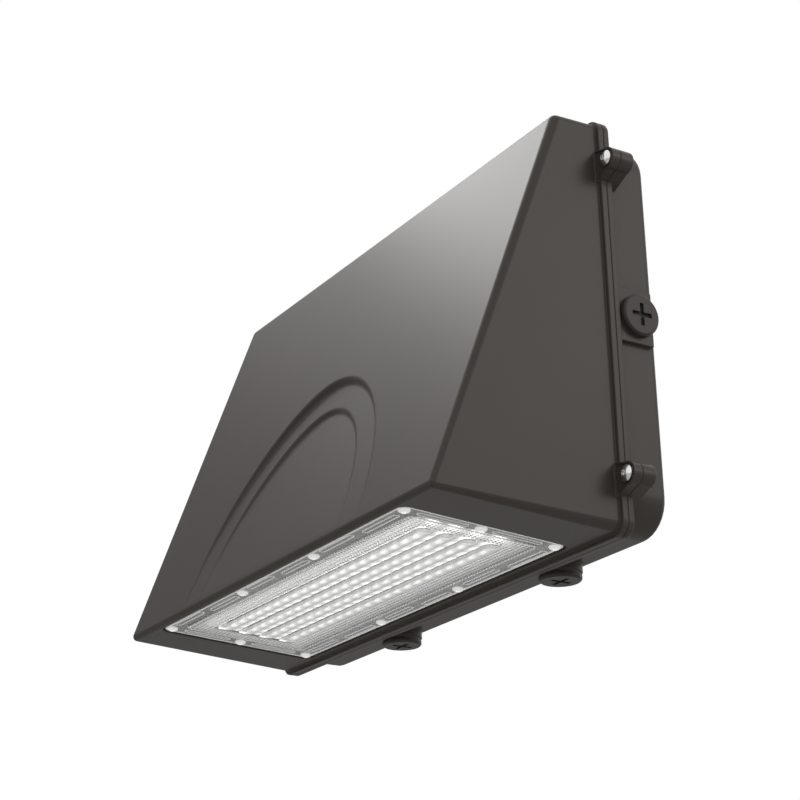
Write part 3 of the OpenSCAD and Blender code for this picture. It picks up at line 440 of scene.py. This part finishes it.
def paint_slot_shade(plug, axis, material):
    """Gives the walls and floors of a plug's crossed slots their own material, of painted shade: the faces
    near its middle that lie below the outer face of its head, across the given axis."""
    mesh = plug.data
    corners = np.array([vert.co[:] for vert in mesh.vertices])
    outer = corners[abs(corners[:, axis]).argmax(), axis]
    head = corners[abs(corners[:, axis] - outer) < PLUG_HEAD * MM]
    middle = (head.min(0) + head.max(0)) / 2
    mesh.materials.append(material)
    for face in mesh.polygons:
        depth = abs(face.center[axis] - outer)
        off = np.delete(np.array(face.center) - middle, axis)
        if CROSS_NEAR * MM < depth < CROSS_FAR * MM and np.hypot(*off) < CROSS_REACH * MM:
            face.material_index = 1


def on_underside(x, y, z):
    """Points of the underside's frame, x across, y back and z up into the housing, as rows of metres."""
    along = y - LENS_MID
    c, s = math.cos(FLOOR_ANGLE), math.sin(FLOOR_ANGLE)
    return MM * np.stack([x, RIM_Y + along * c + z * s, -HALF_H - along * s + z * c], axis=-1)


def on_slope(x, v, w):
    """Points of the slope's frame, x across, v up it from the nose and w outwards, as rows of metres."""
    c, s = math.cos(SLOPE_ANGLE), math.sin(SLOPE_ANGLE)
    return MM * np.stack([x, NOSE_Y + v * c - w * s, NOSE_Z + v * s + w * c], axis=-1)


def grid_faces(rows, columns):
    """Corner numbers of the quads of a grid, row by row."""
    number = np.arange(rows * columns).reshape(rows, columns)
    corners = [number[:-1, :-1], number[1:, :-1], number[1:, 1:], number[:-1, 1:]]
    return np.stack(corners, axis=-1).reshape(-1, 4)


def ease(t):
    """Zero below 0, one above 1, and a smooth cubic between."""
    t = np.clip(t, 0, 1)
    return t * t * (3 - 2 * t)


def arch_step(x, v, half, rise, depth):
    """Depth that one arch adds: a soft step from 0 to a depth that grows with height, over the
    distance to the edge of a half superellipse, which is (1 - F) / |grad F| for
    F = (|x / a|^n + |y / b|^n)^(1 / n), with walls that open by a share of their depth."""
    n = ARCH_POWER
    b = rise - ARCH_FOOT
    across, up = abs(x) / half, np.maximum(v - ARCH_FOOT, 0) / b
    f = (across ** n + up ** n) ** (1 / n) + TINY
    steep = np.hypot(across ** (n - 1) / half, up ** (n - 1) / b) * f ** (1 - n) + TINY
    inward = np.where(v < ARCH_FOOT, -np.inf, (1 - f) / steep / ARCH_LEAN)
    start = np.logaddexp(0, inward / ARCH_SOFT)
    stop = np.logaddexp(0, (inward - depth * up) / ARCH_SOFT)
    return ARCH_SOFT * (start - stop)


def arch_panel(border):
    """The slope as a height field with both arches sunk in it: rows run from the border's lowest to its
    highest point, and columns from its left edge at t = -1 to its right one at t = 2, with the arches
    between t = 0 and t = 1, where both are closest."""
    side = border[np.argsort(border[:, 1])]
    side = side[side[:, 0] > 0]
    low, high = border[:, 1].min(), border[:, 1].max()
    fine_rows = np.linspace(low + FIRST_ROW, FINE_TOP, FINE_ROWS)
    rows = np.concatenate([[low], fine_rows, np.linspace(COARSE_FOOT, high, COARSE_ROWS)])
    coarse = np.linspace(-1, -COARSE_START, COARSE_COLUMNS)
    t, v = np.meshgrid(np.concatenate([coarse, np.linspace(0, 1, FINE_COLUMNS), 1 - coarse[::-1]]), rows)
    margin = np.interp(v, side[:, 1], side[:, 0]) - FINE_HALF_W
    fine = np.interp(t, [0, 1], [-FINE_HALF_W, FINE_HALF_W])
    x = fine + (np.minimum(t, 0) + np.maximum(t - 1, 0)) * margin
    relief = arch_step(x, v, *OUTER_ARCH) + arch_step(x, v, *INNER_ARCH)
    base = np.interp(v, side[:, 1], side[:, 2])
    points = on_slope(x, v, base - relief * ease((v - low) / ARCH_FADE))
    faces = grid_faces(*x.shape)[:, ::-1]
    return surface("arch_panel", points.reshape(-1, 3).tolist(), faces.tolist())


def front_casting():
    """Housing without its slope, and the border that is left, as rows of x, v and w on the slope."""
    shape = merged_shape("front_housing")
    c, s = math.cos(SLOPE_ANGLE), math.sin(SLOPE_ANGLE)
    outward = Vector((0, -s, c))
    nose = Vector((0, NOSE_Y, NOSE_Z)) * MM

    def placed(point):
        off = point - nose
        return off.x / MM, (off.y * c + off.z * s) / MM, off.dot(outward) / MM

    gone = []
    for face in shape.faces:
        x, v, w = placed(face.calc_center_median())
        facing = face.normal.dot(outward)
        plane = abs(w) < SLOPE_NEAR and facing > SLOPE_FACING
        zone = abs(x) < ZONE_HALF_W and ZONE_FOOT < v < ZONE_TOP and -ZONE_DEPTH < w < 0
        if plane or (zone and facing > ZONE_FACING):
            gone.append(face)
    bmesh.ops.delete(shape, geom=gone, context="FACES")
    open_verts = {vert for edge in shape.edges if len(edge.link_faces) == 1 for vert in edge.verts}
    border = np.array([placed(vert.co) for vert in open_verts])
    weigh_edges(shape, lambda place: place.x > LUG_LIP_X and place.y < LUG_LIP_Y)
    return finished_mesh(shape, "front_casting"), border[abs(border[:, 2]) < BORDER_NEAR]


def lens_inset(x, y):
    """Distance in from the lens's edge: a box's distance, with its corners measured from their centres."""
    from_x = abs(x) - (LENS_HALF_W - LENS_CORNER)
    from_y = abs(y) - (LENS_HALF_D - LENS_CORNER)
    beyond = np.hypot(np.maximum(from_x, 0), np.maximum(from_y, 0))
    inside = np.minimum(np.maximum(from_x, from_y), 0)
    return LENS_CORNER - beyond - inside


def lens_relief(x, y):
    """How far the lens's outer face stands out of its plate, in mm: a part cylinder over each LED row,
    and prisms as a product of cosines in a band round the rows. Gives the band's share too."""
    height = np.zeros_like(x)
    radius = (RIDGE_HALF_W ** 2 + RIDGE_CROWN ** 2) / (2 * RIDGE_CROWN)
    end = ease((RIDGE_END - abs(x)) / RIDGE_RUNOUT)
    for row in ROWS:
        off = y - row * ROW_PITCH
        cylinder = np.sqrt(np.maximum(radius ** 2 - off ** 2, 0)) - radius + RIDGE_CROWN
        height = height + end * np.maximum(cylinder, 0)
    beyond_rows = np.maximum(ease((abs(y) - PRISM_FROM_Y) / PRISM_SOFT),
                             ease((abs(x) - PRISM_FROM_X) / PRISM_SOFT))
    band = ease((lens_inset(x, y) - PRISM_INSET) / PRISM_SOFT) * beyond_rows
    turn = 2 * math.pi / PRISM_PITCH
    prism = (1 + np.cos(turn * x)) * (1 + np.cos(turn * y)) / 4
    return height + PRISM_HEIGHT * band * prism, band


def lens_mesh():
    """Closed lens: a grid over the plate whose rows shorten round the corners, a wall and a flat back.
    Gives each face's material number too: 1 in the prism band and 0 elsewhere."""
    rows, columns = LENS_ROWS, LENS_COLUMNS
    s, y = np.meshgrid(np.linspace(-1, 1, columns), np.linspace(-LENS_HALF_D, LENS_HALF_D, rows))
    past = np.maximum(abs(y) - (LENS_HALF_D - LENS_CORNER), 0)
    x = s * (LENS_HALF_W - LENS_CORNER + np.sqrt(np.maximum(LENS_CORNER ** 2 - past ** 2, 0)))
    relief, band = lens_relief(x, y)
    front = on_underside(x, y, LENS_FACE - relief).reshape(-1, 3)
    number = np.arange(rows * columns).reshape(rows, columns)
    ring = np.concatenate([number[0, :-1], number[:-1, -1], number[-1, :0:-1], number[:0:-1, 0]])
    back = on_underside(x.ravel()[ring], y.ravel()[ring], LENS_BACK)
    below = rows * columns + np.arange(len(ring))
    wall = np.stack([ring, np.roll(ring, -1), np.roll(below, -1), below], axis=-1)
    face_grid = grid_faces(rows, columns).tolist()
    faces = face_grid + wall.tolist() + [below.tolist()]
    mesh = surface("lens_plate", np.concatenate([front, back]).tolist(), faces)
    in_grid = np.arange(len(faces)) < len(face_grid)
    mesh.polygons.foreach_set("use_smooth", in_grid)
    finish = np.zeros(len(faces), dtype=np.int32)
    finish[in_grid] = band[:-1, :-1].ravel() > 0.5
    return mesh, finish


def round_loop(x0, x1, y0, y1, corner, step):
    """Points of a rectangle with round corners, a step apart: straight runs and quarter circles."""
    pieces = []
    for k, (x, y) in enumerate([(x1, y1), (x0, y1), (x0, y0), (x1, y0)]):
        centre_x = x - math.copysign(corner, x - (x0 + x1) / 2)
        centre_y = y - math.copysign(corner, y - (y0 + y1) / 2)
        turn = math.pi / 2 * (k + np.linspace(0, 1, max(3, round(corner / step) + 2)))
        arc_x, arc_y = centre_x + corner * np.cos(turn), centre_y + corner * np.sin(turn)
        pieces.append(np.stack([arc_x, arc_y], axis=-1))
    points = np.concatenate(pieces)
    ahead = np.roll(points, -1, 0)
    runs = []
    for start, end in zip(points, ahead):
        count = max(1, round(float(np.hypot(*(end - start))) / step))
        runs.append(start + (end - start) * np.linspace(0, 1, count, endpoint=False)[:, None])
    return np.concatenate(runs)


def rib(loop, width, height):
    """Closed rib on the lens along a loop: a half ellipse, width across and height high, carried along
    the loop square to its direction. Gives points and faces."""
    ahead = np.roll(loop, -1, 0) - np.roll(loop, 1, 0)
    ahead = ahead / np.hypot(ahead[:, 0], ahead[:, 1])[:, None]
    angle = np.linspace(0, math.pi, RIB_POINTS)
    across = width / 2 * np.cos(angle)
    x = loop[:, 0, None] - ahead[:, 1, None] * across
    y = loop[:, 1, None] + ahead[:, 0, None] * across
    z = LENS_FACE + RIB_FOOT - (height + RIB_FOOT) * np.sin(angle)
    number = np.arange(x.size).reshape(x.shape)
    after = np.roll(number, -1, 0)
    faces = np.stack([number[:, :-1], number[:, 1:], after[:, 1:], after[:, :-1]], axis=-1)
    return on_underside(x, y, z).reshape(-1, 3), faces.reshape(-1, 4)


def slot_loop(x0, x1, y0, y1):
    """Loop of one long slot with round ends, and its rib's width and height."""
    return round_loop(x0, x1, y0, y1, SLOT_CORNER, SLOT_STEP), *FINE_RIB


def lens_loops():
    """Loops of the ribs with their width and height: the edge lip, a waved bead inside the screws, and
    long slots between the screws, in pairs of which one lies farther out."""
    lip_x, lip_y = LENS_HALF_W - LIP_INSET, LENS_HALF_D - LIP_INSET
    lip = round_loop(-lip_x, lip_x, -lip_y, lip_y, LENS_CORNER - LIP_INSET, LIP_STEP)
    bead = round_loop(-BEAD_HALF_W, BEAD_HALF_W, -BEAD_HALF_D, BEAD_HALF_D, BEAD_CORNER, BEAD_STEP)
    wave = 1 + WAVE_SWING * np.sin(np.arange(len(bead)) * 2 * math.pi / WAVE_POINTS)
    loops = [(lip, *LIP), (bead * wave[:, None] ** [WAVE_POWER, 1], *FINE_RIB)]
    for x0, x1 in zip(SCREW_X[:-1], SCREW_X[1:]):
        middle = (x0 + x1) / 2
        left = (x0 + SLOT_SCREW_GAP, middle - SLOT_MID_GAP)
        right = (middle + SLOT_MID_GAP, x1 - SLOT_SCREW_GAP)
        for run, y in ((left, SLOT_IN), (right, SLOT_OUT), (left, -SLOT_OUT), (right, -SLOT_IN)):
            loops.append(slot_loop(*run, y - SLOT_HALF_W, y + SLOT_HALF_W))
    for x in (-END_SLOT_X, END_SLOT_X):
        for run in ((-END_SLOT_TO, -END_SLOT_FROM), (END_SLOT_FROM, END_SLOT_TO)):
            loops.append(slot_loop(x - SLOT_HALF_W, x + SLOT_HALF_W, *run))
    return loops


def joined(parts):
    """One set of points and faces from several."""
    points, faces, start = [], [], 0
    for some_points, some_faces in parts:
        points += some_points.tolist()
        faces += (some_faces + start).tolist()
        start += len(some_points)
    return points, faces


def led_packages(profile):
    """All LED bodies: each is a profile of (half side, height) pairs carried round a rounded square,
    whose reach is (|cos t|^n + |sin t|^n)^(-1 / n)."""
    angle = np.linspace(0, 2 * math.pi, LED_SIDES, endpoint=False) + math.pi / LED_SIDES
    reach = (abs(np.cos(angle)) ** LED_SQUARE + abs(np.sin(angle)) ** LED_SQUARE) ** (-1 / LED_SQUARE)
    column, row = np.meshgrid(np.arange(LED_COUNT) - (LED_COUNT - 1) / 2, np.array(ROWS))
    middle_x, middle_y = column.reshape(-1, 1, 1) * LED_PITCH, row.reshape(-1, 1, 1) * ROW_PITCH
    half, height = np.array(profile).T[:, :, None]
    x, y = middle_x + half * np.cos(angle) * reach, middle_y + half * np.sin(angle) * reach
    rings = len(profile)
    number = np.arange(rings * LED_SIDES).reshape(rings, LED_SIDES)
    ahead = np.roll(number, -1, 1)
    side = np.stack([number[:-1], ahead[:-1], ahead[1:], number[1:]], -1).reshape(-1, 4)
    start = np.arange(middle_x.size) * rings * LED_SIDES
    faces = (side + start[:, None, None]).reshape(-1, 4).tolist()
    faces += (number[-1] + start[:, None]).tolist()
    faces += (number[0, ::-1] + start[:, None]).tolist()
    return on_underside(x, y, height).reshape(-1, 3).tolist(), faces


# Camera, world and two soft boxes, placed in metres
make_camera()
make_world()
bpy.context.scene.view_settings.view_transform = "Standard"
area_light("sheen_box", place=(-1.45, -0.25, 1.95), target=(0, -0.08, 0), size=0.85, power=13.5)
area_light("side_box", place=(1.8, 1.0, 0.8), target=(0.15, -0.03, -0.03), size=0.9, power=8)

# Polyester powder coat, baked on die-cast aluminium: satin, with a faint orange peel and no metal shine
bronze = grained("bronze_powder_coat", "#3E3935", "#423C38", cloud=40, grain=1.1, depth=0.1,
                 strength=0.12, Roughness=0.34, IOR=1.25)
# The same coat on turned zinc plugs, in a darker colour that is painted shade
plug_painted_shade = grained("plug_coat_painted_shade", "#37322F", "#3C3633", cloud=12, grain=1.1, depth=0.1,
                      strength=0.12, Roughness=0.36, IOR=1.25)
# Near-black painted shade on the faces of the crossed slots
slot_shade_finish = grained("slot_painted_shade", "#080706", "#0D0B0A", cloud=3, grain=0.4, depth=0.02,
                    strength=0.2, Roughness=0.7)
# Passivated stainless steel, cold headed: bright, with fine marks from the die
stainless = grained("passivated_stainless_steel", "#DCDCDA", "#E8E8E6", cloud=2, grain=0.25, depth=0.01,
                    strength=0.3, Metallic=1.0, Roughness=0.2)
# Zinc plated steel screws: pale blue-grey and softly bright
zinc = grained("zinc_plated_steel", "#B9BEC2", "#CBCFD2", cloud=3, grain=0.3, depth=0.01,
               strength=0.3, Metallic=1.0, Roughness=0.36)
# Bright zinc on the small lens screws: almost white, with a painted glow for light from the lens
screw_zinc_painted_glow = grained("lens_screw_zinc_painted_glow", "#F2F2F0", "#FAFAF8", cloud=2, grain=0.25, depth=0.01,
                      strength=0.3, Metallic=0.4, Roughness=0.3, Emission_Color=WHITE,
                      Emission_Strength=0.25)
# Hot-dip galvanised sheet: dull grey crystals about 9 mm across
galvanised = spangled("galvanised_steel_sheet", "#9EA3A6", "#C3C7C9", flake=9, Metallic=1.0,
                      Roughness=0.42)
# Green dyed zinc on the earth screw: a coloured but still metallic shine
green_zinc = grained("green_dyed_zinc", "#2E7A4A", "#3B8C58", cloud=3, grain=0.3, depth=0.01,
                     strength=0.3, Metallic=0.6, Roughness=0.35)
# Heads of the board screws: a white colour and a painted glow stand in for the light of the LEDs beside
# them
screw_heads_painted_glow = grained("board_screw_painted_glow", "#E4E4E0", "#EDEDE9", cloud=3, grain=0.4, depth=0.01,
                      strength=0.2, Roughness=0.4, Emission_Color=WHITE, Emission_Strength=0.35)
# Moulded silicone rubber: matt, slightly dusty grey
silicone = grained("grey_silicone_rubber", "#3A3B3D", "#434446", cloud=8, grain=0.3, depth=0.02,
                   strength=0.4, Roughness=0.6)
# Pale silicone of the lens seal, which shows grey through the clear edge, with a faint painted glow
seal_painted_glow = grained("seal_silicone_painted_glow", "#BDBBBC", "#C6C4C5", cloud=8, grain=0.3, depth=0.02,
                        strength=0.4, Roughness=0.55, Emission_Color=WHITE, Emission_Strength=0.03)
# Closed-cell foam rubber: dead matt, with open pores about 0.8 mm wide at its cut skin
foam = grained("closed_cell_foam", "#252527", "#2D2D30", cloud=6, grain=0.8, depth=0.2,
               strength=0.7, Roughness=0.9)
# Ceramic filled silicone pad: soft blue-grey and matt
pad = grained("heat_conducting_silicone", "#74838B", "#7F8E96", cloud=10, grain=0.4, depth=0.02,
              strength=0.3, Roughness=0.7)
# Bead blasted, clear anodised aluminium case of the driver: even pale grey
anodised = grained("anodised_aluminium", "#C4C7C9", "#CFD2D4", cloud=20, grain=0.35, depth=0.02,
                   strength=0.3, Metallic=0.85, Roughness=0.5)
# Spark eroded texture on black moulded polycarbonate: satin with a fine grain
black_plastic = grained("moulded_black_polycarbonate", "#26282B", "#2C2E31", cloud=15, grain=0.45,
                        depth=0.05, strength=0.4, Roughness=0.45)
# Natural moulded polyamide: warm cream, satin
cream_plastic = grained("moulded_cream_polyamide", "#E2DDCE", "#EAE6D9", cloud=12, grain=0.5,
                        depth=0.03, strength=0.3, Roughness=0.42)
# Extruded PVC sheaths: smooth with a slow waviness from the die
white_sheath = grained("white_pvc_sheath", "#E6E6E3", "#EFEFED", cloud=15, grain=2.5, depth=0.05,
                       strength=0.3, Roughness=0.4)
black_sheath = grained("black_pvc_sheath", "#2A2B2E", "#313236", cloud=15, grain=2.5, depth=0.05,
                       strength=0.3, Roughness=0.4)
# White solder mask over aluminium, with painted light from the rows of LEDs on it: an emission that swells
# round each LED
painted_board_light = board_ink_painted_light("white_board_ink_painted_light", "#B9B9B6", "#FFFEFA", strength=2.3, Roughness=0.5)
# Moulded white ceramic-filled body of an LED, with a painted glow for the light of its own chip
led_finish_painted_glow = grained("led_body_painted_glow", "#F4F2EC", "#FAF8F2", cloud=2, grain=0.3, depth=0.01,
                    strength=0.2, Roughness=0.4, Emission_Color=WHITE, Emission_Strength=2.0)
# Silicone dome with yellow phosphor over the chip, switched on
phosphor = grained("lit_phosphor_silicone", "#FFF3C4", "#FFF8DC", cloud=1, grain=0.4, depth=0.01,
                   strength=0.2, Roughness=0.3, Emission_Color=linear("#FFFDF6"), Emission_Strength=2.2)
# Injection moulded clear polycarbonate: polished, with a trace of grey in its thickness
clear = grained("clear_polycarbonate", "#F3F5F5", "#FAFBFB", cloud=30, grain=1.5, depth=0.01,
                strength=0.1, Roughness=0.03, IOR=1.585, Transmission_Weight=1.0)
# The same polycarbonate where ribs and edges scatter light: paler and less clear, with a painted glow for
# the light that the plate carries to them
rib_finish_painted_glow = grained("rib_polycarbonate_painted_glow", "#D6D6D7", "#E0E0E1", cloud=6, grain=0.6, depth=0.02,
                   strength=0.2, Roughness=0.25, IOR=1.585, Transmission_Weight=0.6,
                   Emission_Color=WHITE, Emission_Strength=0.06)
# Fine prisms of the same lens, with painted glints on their tips
prismatic = prisms_painted_glints("prism_polycarbonate_painted_glints", "#F6F7F7", "#FFFFFF", strength=0.4, Roughness=0.1,
                       IOR=1.585, Transmission_Weight=0.9)

# Castings: the housing with its slope as a panel of its own, and the back box
casting_mesh, slope_border = front_casting()
casting = new_object(casting_mesh, bronze, "front_housing")
finish_edges(casting, CASTING_ROUND, segments=3, limit="WEIGHT")
new_object(arch_panel(slope_border), bronze, "front_housing")
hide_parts("front_housing")
back_shape = merged_shape("back_box")
weigh_edges(back_shape, lambda place: place.y > WALL_LIP_Y)
back_casting = new_object(finished_mesh(back_shape, "back_casting"), bronze, "back_box")
finish_edges(back_casting, CASTING_ROUND, segments=2, limit="WEIGHT")
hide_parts("back_box")

# Lens and LEDs
plate_mesh, plate_finish = lens_mesh()
lens = new_object(plate_mesh, clear, "front_housing")
# The prism band's finish has painted glints
plate_mesh.materials.append(prismatic)
plate_mesh.polygons.foreach_set("material_index", plate_finish)
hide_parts("lens")
ribs = joined([rib(*loop) for loop in lens_loops()])
# The ribs' finish has a painted glow
new_object(surface("lens_ribs", *ribs), rib_finish_painted_glow, "front_housing")
led_bodies = surface("led_bodies", *led_packages(LED_BODY), smooth=False)
# The LED bodies' finish has a painted glow
packages = new_object(led_bodies, led_finish_painted_glow, "front_housing")
new_object(surface("led_domes", *led_packages(LED_DOME)), phosphor, "front_housing")
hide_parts("leds")

# Pieces that stand for a CAD node with softened edges: node, body, slot, finish and rounding in mm
SOFTENED = (
    # The plugs' coat is darker for painted shade
    ("plug_side", "plug_side", "bronze_plug", plug_painted_shade, 0.35),
    ("plug_bottom_right", "plug_bottom_right", "bronze_plug", plug_painted_shade, 0.35),
    ("plug_bottom_left", "plug_bottom_left", "bronze_plug", plug_painted_shade, 0.35),
    ("captive_screw_upper", "captive_screw_upper", "stainless", stainless, 0.12),
    ("captive_screw_lower", "captive_screw_lower", "stainless", stainless, 0.12),
    # The lens screws' finish has a painted glow
    ("lens_screws", "front_housing", "stainless", screw_zinc_painted_glow, 0.1),
    ("led_driver", "front_housing", "driver_case", anodised, 0.8),
    ("surge_protector", "front_housing", "black_plastic", black_plastic, 0.6),
    ("terminal_block", "front_housing", "cream_plastic", cream_plastic, 0.3),
    ("driver_tray", "front_housing", "zinc_steel", galvanised, 0.3),
)
soft = {}
for node, body, slot, material, width in SOFTENED:
    soft[node] = rounded_copy(node, body, material, width)
# Slot faces of the plugs get painted shade
for node, axis in (("plug_side", 0), ("plug_bottom_right", 2), ("plug_bottom_left", 2)):
    paint_slot_shade(soft[node], axis, slot_shade_finish)

# Pieces whose CAD shape stays, with their finish
KEPT = {
    # The board has painted light; the lens seal and the board screws have a painted glow
    "led_board": painted_board_light, "lens_gasket": seal_painted_glow, "thermal_pad": pad, "board_screws": screw_heads_painted_glow,
    "captive_washer_upper": stainless, "captive_washer_lower": stainless, "hinge_pins": stainless,
    "plug_ring_side": silicone, "plug_ring_bottom_right": silicone, "plug_ring_bottom_left": silicone,
    "housing_gasket": silicone, "lead_grommet": silicone, "wall_seal": foam, "ground_screw": green_zinc,
    "tray_screws": zinc, "driver_screws": zinc, "surge_screw": zinc, "terminal_screws": zinc,
    "led_lead": white_sheath, "driver_lead": black_sheath, "surge_lead": black_sheath,
}
for node, material in KEPT.items():
    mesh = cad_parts[node].data
    mesh.materials.clear()
    mesh.materials.append(material)

# Pale matt floor, far enough down for views from below, and paler still to the camera alone
floor_paint = grained("pale_floor_paint", "#C6C6C4", "#CACAC8", cloud=200, grain=3, depth=0.1,
                      strength=0.1, Roughness=0.8, Emission_Color=WHITE)
floor_tree = floor_paint.node_tree
seen = floor_tree.nodes.new("ShaderNodeLightPath").outputs["Is Camera Ray"]
lift = add(floor_tree, "ShaderNodeMath", [(0, seen), (1, FLOOR_LIFT)], operation="MULTIPLY")
floor_tree.links.new(lift.outputs[0], floor_tree.nodes["Principled BSDF"].inputs["Emission Strength"])
floor_corners = [(-FLOOR_HALF, -FLOOR_HALF, FLOOR_Z), (FLOOR_HALF, -FLOOR_HALF, FLOOR_Z),
                 (FLOOR_HALF, FLOOR_HALF, FLOOR_Z), (-FLOOR_HALF, FLOOR_HALF, FLOOR_Z)]
stage_sheet("floor", floor_corners, floor_paint)

# Grey card, low on the left and unseen by the camera, that the lower slope mirrors
card_board = grained("grey_card", "#ACACAF", "#B2B2B5", cloud=30, grain=2, depth=0.1, strength=0.1,
                     Roughness=0.95)
card_corners = [(CARD_X, CARD_FRONT, CARD_LOW), (CARD_X, CARD_BACK, CARD_LOW),
                (CARD_X, CARD_BACK, CARD_HIGH), (CARD_X, CARD_FRONT, CARD_HIGH)]
card = stage_sheet("card", card_corners, card_board)
card.visible_camera = False
card.visible_transmission = False
